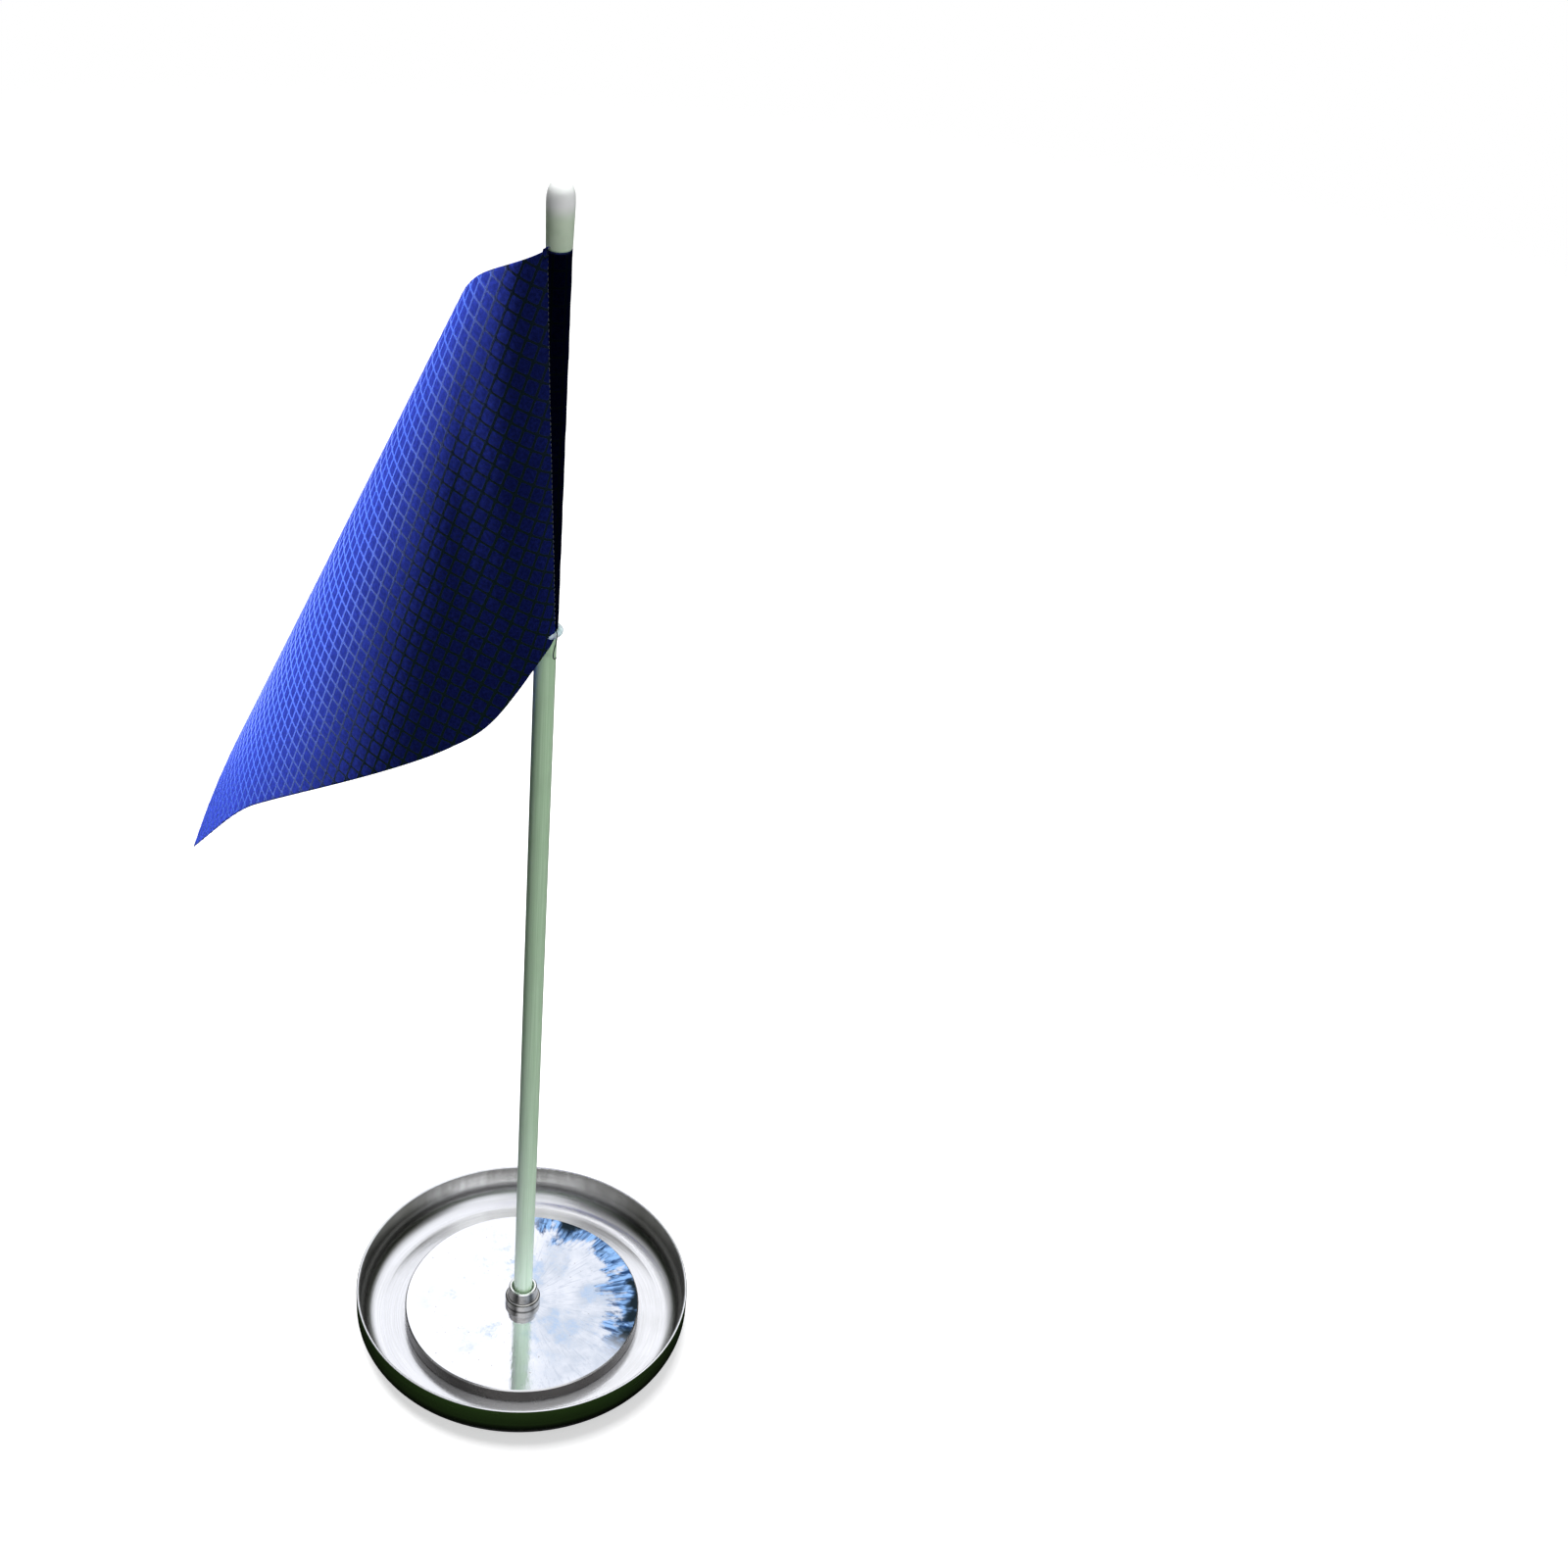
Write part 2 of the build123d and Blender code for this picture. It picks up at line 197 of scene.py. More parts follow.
# the sleeve's cloth: a near-black copy of the flag cloth, painted shade
SHADED_HEM_CLOTH = ((0.002, 0.004, 0.03, 1), (0.004, 0.008, 0.06, 1), (0.01, 0.015, 0.06, 1))
CORD_TINT = (0.35, 0.45, 1.0, 1)
SEAM_THREAD = ((0.30, 0.34, 0.44, 1), (0.70, 0.75, 0.88, 1))
LOOSE_THREAD = ((0.01, 0.014, 0.03, 1), (0.04, 0.05, 0.09, 1))
WHITE = (1, 1, 1, 1)
SKY = (1.14, 1.16, 1.22, 1)
GROWTH_LEFT, GROWTH_RIGHT = (0.015, 0.026, 0.011, 1), (0.05, 0.06, 0.04, 1)
GROWTH_FOR_MATT = (0.008, 0.010, 0.008, 1)
TURF, TURF_SHADED = (0.022, 0.050, 0.010, 1), (0.004, 0.006, 0.003, 1)
FLOOR_PALE = (0.9, 0.9, 0.9, 1)

# ---- stage: each lamp's place, width and power ----
FLOOR_HALF = 4.0
FLOOR_FADE = (0.45, 1.3)           # distance from the rod
CUP_SHADOW = (0.055, 0.075)
KEY = ((-1.17, 0.64, 0.26), 0.40, 20)
BEHIND = ((0.35, 1.2, 0.6), 0.6, 6)
FILL = ((0.70, -1.0, 0.55), 0.7, 10)
OVERHEAD = ((-0.25, 0.35, 1.8), 1.4, 38)
BOUNCE = ((0, 0, DISC_TOP + MM), 0.17, 0.16)
BOUNCE_COLOUR = (0.82, 0.68, 1.0)
GLARE = 2.4                        # how bright the ground behind the flag is in its cords' gloss
GLARE_AIM = (-0.05, 0.0, 0.28)
GLARE_TURNS = ((82, 1.0), (104, 1.0), (126, 0.9), (146, 0.6), (166, 0.25))  # degrees, and how strong
FAR_GLARE = (1.0, -0.05, 0.13, 0.52)           # distance, shift to +X, height and width
NEAR_GLARE = (0.42, -0.07, 0.03, 0.30)

random.seed(7)


# ------------------------------------------------------------------ camera
def make_camera():
    """Aims at the rim's centre from the front, rolls, pans and tilts."""
    e = CAMERA_ELEVATION
    forward = Vector((0, math.cos(e), -math.sin(e)))
    right = Vector((1, 0, 0))
    up = right.cross(forward)
    place = Vector((0, 0, RIM_Z)) - forward * CAMERA_DISTANCE
    rolled_right = right * math.cos(CAMERA_ROLL) + up * math.sin(CAMERA_ROLL)
    rolled_up = up * math.cos(CAMERA_ROLL) - right * math.sin(CAMERA_ROLL)
    panned = forward * math.cos(CAMERA_PAN) + rolled_right * math.sin(CAMERA_PAN)
    side = rolled_right * math.cos(CAMERA_PAN) - forward * math.sin(CAMERA_PAN)
    aim = panned * math.cos(CAMERA_TILT) + rolled_up * math.sin(CAMERA_TILT)
    top = rolled_up * math.cos(CAMERA_TILT) - panned * math.sin(CAMERA_TILT)
    camera = bpy.data.objects.new("camera", bpy.data.cameras.new("camera"))
    camera.matrix_world = Matrix.Translation(place) @ Matrix((side, top, -aim)).transposed().to_4x4()
    camera.data.lens = LENS
    camera.data.clip_start = 0.01
    bpy.context.collection.objects.link(camera)
    bpy.context.scene.camera = camera


make_camera()


# ------------------------------------------------------------------ node trees
class Nodes:
    """Short names for the shader nodes that the materials and the world are made of."""

    def __init__(self, tree):
        self.tree = tree

    def node(self, kind, **settings):
        made = self.tree.nodes.new("ShaderNode" + kind)
        for name, value in settings.items():
            setattr(made, name, value)
        return made

    def feed(self, socket, value):
        if isinstance(value, bpy.types.NodeSocket):
            self.tree.links.new(value, socket)
        else:
            socket.default_value = value

    def math(self, operation, a, b=0.0, c=0.0):
        made = self.node("Math", operation=operation)
        for socket, value in zip(made.inputs, (a, b, c)):
            self.feed(socket, value)
        return made.outputs[0]

    def remap(self, value, low, high, to_low=0.0, to_high=1.0):
        """value from low..high to to_low..to_high, smoothly and clamped."""
        made = self.node("MapRange", interpolation_type="SMOOTHSTEP")
        for socket, number in zip(made.inputs, (value, low, high, to_low, to_high)):
            self.feed(socket, number)
        return made.outputs[0]

    def mix(self, factor, a, b):
        made = self.node("Mix", data_type="RGBA")
        self.feed(made.inputs[0], factor)
        self.feed(made.inputs[6], a)
        self.feed(made.inputs[7], b)
        return made.outputs[2]

    def parts(self, vector):
        made = self.node("SeparateXYZ")
        self.feed(made.inputs[0], vector)
        return made.outputs

    def join(self, x, y, z):
        made = self.node("CombineXYZ")
        for socket, value in zip(made.inputs, (x, y, z)):
            self.feed(socket, value)
        return made.outputs[0]

    def noise(self, vector, scale, detail=2.0, roughness=0.5):
        made = self.node("TexNoise")
        self.feed(made.inputs["Vector"], vector)
        made.inputs["Scale"].default_value = scale
        made.inputs["Detail"].default_value = detail
        made.inputs["Roughness"].default_value = roughness
        return made.outputs["Fac"]

    def place(self):
        return self.node("TexCoord").outputs["Object"]

    def polar(self):
        """Distance from the rod's axis, height, and the two parts of the direction round it."""
        x, y, z = self.parts(self.place())
        radius = self.math("SQRT", self.math("MULTIPLY_ADD", x, x, self.math("MULTIPLY", y, y)))
        safe = self.math("MAXIMUM", radius, 0.0001)
        return radius, z, self.math("DIVIDE", x, safe), self.math("DIVIDE", y, safe)

    def bump(self, height, distance, strength=1.0, normal=None):
        made = self.node("Bump")
        made.inputs["Strength"].default_value = strength
        made.inputs["Distance"].default_value = distance
        self.feed(made.inputs["Height"], height)
        if normal is not None:
            self.feed(made.inputs["Normal"], normal)
        return made.outputs[0]


class Tree(Nodes):
    """A new material and its shader."""

    def __init__(self, name):
        self.material = bpy.data.materials.new(name)
        self.material.use_nodes = True
        super().__init__(self.material.node_tree)
        self.shader = self.tree.nodes["Principled BSDF"]

    def set(self, **sockets):
        for name, value in sockets.items():
            self.feed(self.shader.inputs[name.replace("_", " ")], value)
        return self.material


def dress(node, material):
    """Gives a CAD node its material in every slot."""
    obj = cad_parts[node]
    if not obj.material_slots:
        obj.data.materials.append(material)
    for slot in obj.material_slots:
        slot.material = material


# ------------------------------------------------------------------ metals, rod and pad
def spun_steel():
    """Stainless sheet spun on a lathe. The floor is bright and scuffed. Up the wall inside is a
    painted reflection, streaked up and down with broad darker patches, and low down at the sides
    there is painted shade, so only the front and back stay light."""
    t = Tree("spun_steel")
    radius, height, east, north = t.polar()
    along = t.math("ADD", radius, height)
    lines = t.join(t.math("MULTIPLY", along, 2600), t.math("MULTIPLY", east, 2.2),
                   t.math("MULTIPLY", north, 2.2))
    fine = t.noise(lines, 1.0, 3.0, 0.6)
    bands = t.noise(t.join(t.math("MULTIPLY", along, 420), east, north), 1.0, 2.0)
    smudge = t.noise(t.place(), 38.0, 4.0, 0.6)
    # The upper wall's colour is a painted reflection: streaks smeared up and down, and broad darker
    # patches.
    streaked_reflection = t.noise(t.join(t.math("MULTIPLY", east, 16), t.math("MULTIPLY", north, 16),
                           t.math("MULTIPLY", height, 60)), 1.0, 4.0, 0.65)
    broad_reflection = t.noise(t.join(t.math("MULTIPLY", east, 1.7), t.math("MULTIPLY", north, 1.7),
                           t.math("MULTIPLY", height, 12)), 1.0, 1.0)
    colour = t.mix(t.remap(fine, 0.3, 0.7), SPUN_DULL, SPUN_BRIGHT)
    colour = t.mix(t.remap(smudge, 0.45, 0.75, 0.0, 0.3), colour, SPUN_SMUDGE)
    wall = t.mix(t.remap(streaked_reflection, 0.30, 0.72), WALL_DULL, WALL_BRIGHT)
    wall = t.mix(t.remap(broad_reflection, 0.42, 0.62, 0.0, 0.4), wall, WALL_DARK_REFLECTION)
    inside = t.remap(radius, CUP_RADIUS - 0.3 * MM, CUP_RADIUS - 0.6 * MM)
    below_rim = t.math("MULTIPLY", inside, t.remap(height, RIM_Z - 0.15 * MM, RIM_Z - 0.5 * MM))
    up_wall = t.math("MULTIPLY", below_rim, t.remap(height, *WALL_STARTS))
    # Painted shade: low on the wall and round its corner, the left and right sides go near black.
    fan = t.remap(t.math("ABSOLUTE", north), 0.985, 0.65, 0.0, 0.87)
    shade = t.math("MULTIPLY", t.math("MULTIPLY", below_rim, fan), t.remap(height, *SHADE_STARTS))
    colour = t.mix(up_wall, colour, wall)
    colour = t.mix(shade, colour, WALL_SHADE)
    scuffed = t.math("MULTIPLY", inside, t.math("SUBTRACT", 1.0, t.math("MAXIMUM", up_wall, shade)))
    rough = t.math("MULTIPLY_ADD", fine, 0.14, t.math("MULTIPLY_ADD", bands, 0.10, 0.12))
    t.shader.inputs["Anisotropic"].default_value = 0.5
    t.feed(t.shader.inputs["Tangent"], t.node("Tangent", direction_type="RADIAL", axis="Z").outputs[0])
    t.set(Normal=t.bump(fine, 0.00003, 0.5, t.bump(bands, 0.00005, 0.35)))
    scuffed = t.math("MULTIPLY", scuffed, t.remap(east, -0.75, -0.1, 0.3, 1.0))
    metal = t.math("MULTIPLY_ADD", scuffed, -0.25, 1.0)
    return t.set(Base_Color=colour, Metallic=metal, Roughness=rough)


def polished_steel():
    """The disc: near mirror, with fine rays from polishing. Its right half has a painted reflection, a
    darker wash, with blue sky and dark trees inside its right edge, and its side is painted shade.
    """
    t = Tree("polished_steel")
    radius, height, east, north = t.polar()
    waver = t.noise(t.place(), 70.0, 2.0)
    bent = t.math("MULTIPLY_ADD", waver, 0.025, radius)
    rays = t.noise(t.join(t.math("MULTIPLY", east, 26), t.math("MULTIPLY", north, 26),
                          t.math("MULTIPLY", bent, 190)), 1.0, 3.0, 0.65)
    streaks = t.noise(t.join(t.math("MULTIPLY", east, 7), t.math("MULTIPLY", north, 7),
                             t.math("MULTIPLY", bent, 110)), 1.0, 4.0, 0.7)
    patches = t.noise(t.place(), 85.0, 3.0, 0.6)
    smears = t.noise(t.place(), 80.0, 5.0, 0.7)
    specks = t.remap(t.noise(t.place(), 800.0, 1.0), 0.73, 0.78)
    # Painted reflection of blue sky, with dark trees, inside the disc's front right edge.
    right = t.math("MULTIPLY", t.remap(north, -0.70, -0.35), t.remap(east, -0.05, 0.18))
    reach = t.math("MULTIPLY_ADD", streaks, 0.026, t.math("MULTIPLY_ADD", patches, 0.028, radius))
    sky_reflection = t.math("MULTIPLY", t.remap(reach, *SKY_REFLECTION_REACH), right)
    tint = t.mix(t.remap(rays, 0.36, 0.62), SKY_REFLECTION_DEEP, SKY_REFLECTION_PALE)
    tree_reflection = t.math("MULTIPLY", t.remap(patches, 0.50, 0.62), t.remap(radius, *TREE_REFLECTION_FROM))
    tint = t.mix(tree_reflection, tint, TREE_REFLECTION)
    # Painted reflection of the darker right side: the right half is washed darker and bluer, and its
    # real polishing scores are drawn stronger there.
    half = t.remap(east, -0.2, 0.6)
    faint = t.math("MULTIPLY", t.remap(smears, 0.52, 0.68, 0.0, 0.8), t.remap(radius, *SMEARS_WITHIN))
    scored = t.math("MULTIPLY", t.remap(rays, 0.50, 0.68), t.math("MULTIPLY_ADD", half, 0.42, 0.08))
    steel = t.mix(scored, DISC_STEEL, DISC_SCORE)
    right_side_reflection = t.math("MULTIPLY", half, t.remap(patches, 0.35, 0.65, 0.35, 0.85))
    steel = t.mix(right_side_reflection, steel, DISC_DARK_REFLECTION)
    steel = t.mix(faint, steel, DISC_SMEAR)
    steel = t.mix(t.math("MULTIPLY", specks, 0.55), steel, DISC_SPECK)
    side = t.remap(radius, DISC_RADIUS - 0.45 * MM, DISC_RADIUS - 0.3 * MM)
    top = t.mix(sky_reflection, steel, tint)
    # Painted shade: below its top edge the disc's side is near black.
    low = t.remap(height, DISC_TOP - 0.35 * MM, DISC_TOP - 0.55 * MM)
    band = t.mix(low, DISC_EDGE, DISC_SIDE_SHADE)
    colour = t.mix(side, top, band)
    rings = t.noise(t.join(t.math("MULTIPLY", height, 4200), east, north), 1.0, 2.0)
    relief = t.math("ADD", t.math("MULTIPLY", rays, 0.5), t.math("MULTIPLY", rings, side))
    t.set(Normal=t.bump(relief, 0.00008, 0.3))
    rough = t.math("MULTIPLY_ADD", t.remap(smears, 0.35, 0.75), 0.14, 0.02)
    return t.set(Base_Color=colour, Metallic=1.0, Roughness=t.math("MULTIPLY_ADD", side, 0.2, rough))


def turned_steel():
    """Collar and screw: bar stock turned on a lathe, with tool rings, a painted highlight on the
    collar's top edge and painted shade at its foot by the disc.
    """
    t = Tree("turned_steel")
    radius, height, east, north = t.polar()
    along = t.math("MULTIPLY_ADD", height, 5200, t.math("MULTIPLY", radius, 5200))
    rings = t.noise(t.join(along, east, north), 1.0, 2.0)
    wear = t.noise(t.place(), 300.0, 3.0)
    colour = t.mix(t.remap(wear, 0.4, 0.7), TURNED_PALE, TURNED_WORN)
    # Painted highlight: the collar's top edge is near white.
    lip_highlight = t.remap(height, COLLAR_TOP - 0.6 * MM, COLLAR_TOP - 0.2 * MM)
    colour = t.mix(lip_highlight, colour, TURNED_LIP_HIGHLIGHT)
    # Painted shade where the collar meets the disc.
    foot = t.remap(height, DISC_TOP + 0.7 * MM, DISC_TOP + 0.15 * MM, 0.0, 0.8)
    colour = t.mix(foot, colour, TURNED_FOOT_SHADE)
    t.set(Normal=t.bump(rings, 0.00003, 0.4))
    return t.set(Base_Color=colour, Metallic=1.0, Roughness=t.math("MULTIPLY_ADD", rings, 0.15, 0.12))


def pale_rod():
    """Pultruded glass-fibre rod: pale green, with fibres along it and a soft polish."""
    t = Tree("pale_rod")
    x, y, z = t.parts(t.place())
    fibres = t.noise(t.join(t.math("MULTIPLY", x, 2600), t.math("MULTIPLY", y, 2600),
                            t.math("MULTIPLY", z, 26)), 1.0, 3.0, 0.6)
    cloud = t.noise(t.place(), 55.0, 3.0)
    colour = t.mix(t.remap(fibres, 0.3, 0.7), ROD_DARK, ROD_PALE)
    colour = t.mix(t.remap(cloud, 0.45, 0.75, 0.0, 0.4), colour, ROD_CLOUD)
    t.set(Normal=t.bump(fibres, 0.00002, 0.35))
    t.set(Subsurface_Weight=0.35, Subsurface_Radius=(0.003, 0.0033, 0.003), Subsurface_Scale=1.0)
    t.set(Coat_Weight=0.25, Coat_Roughness=0.12)
    return t.set(Base_Color=colour, Roughness=t.math("MULTIPLY_ADD", fibres, 0.2, 0.28))


def moulded_cap():
    """Soft moulded plastic, pale grey green. Its dome is painted nearly white, a painted highlight."""
    t = Tree("moulded_cap")
    height = t.parts(t.place())[2]
    grain = t.noise(t.place(), 1800.0, 2.0)
    cloud = t.noise(t.place(), 160.0, 3.0)
    base = t.mix(t.remap(cloud, 0.35, 0.7), CAP_DARK, CAP_PALE)
    colour = t.mix(t.remap(height, *DOME_HIGHLIGHT_STARTS), base, CAP_DOME_HIGHLIGHT)
    t.set(Normal=t.bump(grain, 0.00002, 0.25))
    t.set(Subsurface_Weight=0.5, Subsurface_Radius=(0.004, 0.0045, 0.004), Subsurface_Scale=1.0)
    return t.set(Base_Color=colour, Roughness=t.math("MULTIPLY_ADD", cloud, 0.15, 0.3))


def foam_pad():
    """Closed-cell foam: near black, pitted."""
    t = Tree("foam_pad")
    cells = t.node("TexVoronoi", feature="F1")
    t.feed(cells.inputs["Vector"], t.place())
    cells.inputs["Scale"].default_value = 1400
    pits = cells.outputs["Distance"]
    colour = t.mix(t.remap(pits, 0.1, 0.6), FOAM_PIT, FOAM_SKIN)
    t.set(Normal=t.bump(pits, 0.0002, 0.6))
    return t.set(Base_Color=colour, Roughness=t.math("MULTIPLY_ADD", pits, 0.2, 0.75))


def clear_rubber():
    """Clear elastomer ring, slightly milky."""
    t = Tree("clear_rubber")
    cloud = t.noise(t.place(), 700.0, 3.0)
    colour = t.mix(t.remap(cloud, 0.35, 0.7), RUBBER_CLOUD, RUBBER_CLEAR)
    t.set(Normal=t.bump(cloud, 0.00005, 0.3))
    t.set(Transmission_Weight=0.45, IOR=1.42)
    return t.set(Base_Color=colour, Roughness=t.math("MULTIPLY_ADD", cloud, 0.15, 0.12))


dress("cup_pan", spun_steel())
dress("weight_disc", polished_steel())
dress("flagstick_rod", pale_rod())
dress("end_cap", moulded_cap())
dress("foot_pad", foam_pad())
dress("stop_ring", clear_rubber())
TURNED = turned_steel()
dress("socket_collar", TURNED)
dress("base_screw", TURNED)


# ------------------------------------------------------------------ cloth
def ripstop(name, cell_dark, cell_light, cord_gloss):
    """Ripstop nylon. Its UV map holds metres along the grid's long lines and across them.
    The heavier cords give back hardly any light but their gloss, so they are dark or pale
    by what they reflect."""
    t = Tree(name)
    weave = t.node("UVMap", uv_map="weave").outputs[0]
    along, across, _ = t.parts(weave)
    to_cross = t.math("PINGPONG", along, GRID_LONG / 2)
    to_long = t.math("PINGPONG", across, GRID_ACROSS / 2)
    to_cord = t.math("SMOOTH_MIN", to_cross, to_long, 0.9 * MM)
    cord = t.remap(to_cord, 0.28 * MM, 0.44 * MM, 1.0, 0.0)
    warp = t.math("SINE", t.math("MULTIPLY", along, math.tau / YARN))
    weft = t.math("SINE", t.math("MULTIPLY", across, math.tau / YARN))
    threads = t.math("MULTIPLY_ADD", warp, weft, 1.0)
    crinkle = t.noise(weave, 1000.0, 3.0, 0.6)
    blotch = t.noise(weave, 45.0, 2.0)
    cell = t.mix(t.remap(crinkle, 0.3, 0.7), cell_dark, cell_light)
    cell = t.mix(t.remap(blotch, 0.4, 0.7, 0.0, 0.35), cell, cell_dark)
    colour = t.mix(cord, cell, cord_gloss)
    surface = t.bump(threads, 0.00002, 0.25, t.bump(crinkle, 0.00016, 0.55))
    t.set(Normal=surface, Metallic=t.math("MULTIPLY", cord, 0.95), Specular_IOR_Level=0.0,
          Specular_Tint=CORD_TINT)
    return t.set(Base_Color=colour, Roughness=t.math("MULTIPLY_ADD", cord, -0.34, 0.6))


def sewing_thread(name, dark, light):
    """Twisted polyester thread."""
    t = Tree(name)
    twist = t.noise(t.place(), 5200.0, 2.0)
    t.set(Normal=t.bump(twist, 0.00003, 0.5))
    t.set(Sheen_Weight=0.3, Sheen_Roughness=0.4)
    colour = t.mix(t.remap(twist, 0.35, 0.65), dark, light)
    return t.set(Base_Color=colour, Roughness=t.math("MULTIPLY_ADD", twist, 0.2, 0.5))


def cone_point(out, down):
    """Where a flat place on the cloth lies on the cone. out and down are arrays."""
    half, leave = CONE_HALF_ANGLE, LEAVING_ANGLE
    below = np.array([0, 0, -1.0])
    across = np.array([-math.cos(leave), -math.sin(leave), 0])
    inward = np.array([-math.sin(leave), math.cos(leave), 0])
    axis = below * math.cos(half) + inward * math.sin(half)
    start = below * math.sin(half) - inward * math.cos(half)
    around = (np.arctan2(out, down + APEX_RISE) / math.sin(half))[:, None]
    reach = np.hypot(out, down + APEX_RISE)[:, None]
    ruling = axis * math.cos(half) + (start * np.cos(around) + across * np.sin(around)) * math.sin(half)
    return CONE_TIP + ruling * reach


def between(pair, share):
    return pair[0] + (pair[1] - pair[0]) * share


def seam_point(down, radius=SEAM_RADIUS):
    """The sewn line at a distance down the hoist."""
    share = np.clip(down / HOIST, -0.3, 1.15)
    turn = between(SEAM_TURN, share)
    return np.stack([-radius * np.cos(turn), -radius * np.sin(turn), SLEEVE_TOP - down], 1)


def seam_out(down):
    return between(SEAM_OUT, down / HOIST)


def cloth_point(out, down):
    """The flat cloth's place in space: the cone, and near the hoist a smooth run in to the seam."""
    cone = cone_point(out, down)
    span = (WRAP_END - seam_out(down))[:, None]
    u = np.clip((out - seam_out(down))[:, None] / span, -0.2, 1)
    leaving = between(SEAM_LEAVING, np.clip(down / HOIST, -0.3, 1.15))
    away = np.stack([-np.cos(leaving), -np.sin(leaving), 0 * leaving], 1) * span
    edge = np.full_like(out, WRAP_END)
    step = 0.05 * MM
    slope = (cone_point(edge + step, down) - cone_point(edge - step, down)) / (2 * step) * span
    run = (
        (2 * u**3 - 3 * u**2 + 1) * seam_point(down)
        + (u**3 - 2 * u**2 + u) * away
        + (3 * u**2 - 2 * u**3) * cone_point(edge, down)
        + (u**3 - u**2) * slope
    )
    return np.where((out < WRAP_END)[:, None], run, cone)


def cloth_normal(out, down):
    """Unit normals on the side that faces away from the cone's axis."""
    step = 0.1 * MM
    over = cloth_point(out + step, down) - cloth_point(out - step, down)
    along = cloth_point(out, down + step) - cloth_point(out, down - step)
    normal = np.cross(over, along)
    return normal / np.linalg.norm(normal, axis=1)[:, None]


def lower_edge(out):
    straight = LOWER_EDGE_START + out * math.tan(LOWER_EDGE_SLOPE)
    tail = TAIL_DROP * (1 - np.exp(-(np.maximum(out - TAIL_START, 0) / TAIL_RUN) ** 2))
    return straight + tail - CORNER_LIFT / (1 + np.exp((out - CORNER_MIDDLE) / CORNER_RUN))


def top_edge(out):
    return np.maximum(out, 0) * math.tan(TOP_EDGE_SLOPE)


def past_fly(out, down):
    """Positive on the hoist's side of the straight fly edge."""
    run, rise = FLY_FOOT[0] - FLY_TOP[0], FLY_FOOT[1] - FLY_TOP[1]
    length = math.hypot(run, rise)
    return ((FLY_TOP[0] - out) * rise + (down - FLY_TOP[1]) * run) / length


EDGES = (
    lambda out, down: down - top_edge(out),
    lambda out, down: lower_edge(out) - down,
    past_fly,
    lambda out, down: out - seam_out(down),
)


def clip(polygon):
    """The part of a small flat polygon that lies inside every edge of the cloth."""
    for edge in EDGES:
        kept = []
        for here, there in zip(polygon, polygon[1:] + polygon[:1]):
            a, b = float(edge(*here)), float(edge(*there))
            if a >= 0:
                kept.append(here)
            if (a < 0) != (b < 0):
                share = a / (a - b)
                kept.append((between((here[0], there[0]), share), between((here[1], there[1]), share)))
        polygon = kept
    return polygon


def grid_lines(low, high, pitch):
    """Mesh lines of one family: each cord's middle and feet, and three lines over the cell."""
    places = (0, CORD_HALF, pitch * 0.28, pitch * 0.5, pitch * 0.72, pitch - CORD_HALF)
    first, last = math.floor(low / pitch), math.ceil(high / pitch)
    return np.array([i * pitch + place for i in range(first, last) for place in places])


def to_weave(out, down):
    return (out * math.sin(GRID_LEAN) + down * math.cos(GRID_LEAN),
            out * math.cos(GRID_LEAN) - down * math.sin(GRID_LEAN))


def to_flat(along, across):
    return (along * math.sin(GRID_LEAN) + across * math.cos(GRID_LEAN),
            along * math.cos(GRID_LEAN) - across * math.sin(GRID_LEAN))


def flat_cloth():
    """Flat points and faces of the cut cloth, meshed along its ripstop grid."""
    corners = [(SEAM_OUT[1], 0), (0, 0), FLY_TOP, FLY_FOOT, (0, HOIST), (SEAM_OUT[1], HOIST)]
    weave = [to_weave(*corner) for corner in corners]
    pad = 2 * GRID_LONG
    along = grid_lines(min(w[0] for w in weave) - pad, max(w[0] for w in weave) + pad, GRID_LONG)
    across = grid_lines(min(w[1] for w in weave) - pad, max(w[1] for w in weave) + pad, GRID_ACROSS)
    out, down = to_flat(along[:, None], across[None, :])
    inside = np.minimum.reduce([edge(out, down) for edge in EDGES]) >= 0
    points, faces = {}, []

    def index(place):
        return points.setdefault((round(place[0], 8), round(place[1], 8)), len(points))

    for i in range(len(along) - 1):
        for j in range(len(across) - 1):
            ring = [(i, j), (i, j + 1), (i + 1, j + 1), (i + 1, j)]
            within = sum(bool(inside[k]) for k in ring)
            if within == 0:
                continue
            polygon = [(float(out[k]), float(down[k])) for k in ring]
            if within < 4:
                polygon = clip(polygon)
            face = list(dict.fromkeys(index(place) for place in polygon))
            if len(face) > 2:
                faces.append(face)
    return np.array(list(points)), faces


def cord_shape(along, across):
    """How near a place is to a cord's middle, from 0 to 1, and how far its cell bulges."""
    def to_line(value, pitch):
        return np.abs(value - np.round(value / pitch) * pitch)
    near = np.minimum(to_line(along, GRID_LONG), to_line(across, GRID_ACROSS))
    bulge = np.abs(np.sin(np.pi * along / GRID_LONG) * np.sin(np.pi * across / GRID_ACROSS))
    return np.clip(1 - near / CORD_HALF, 0, 1), bulge


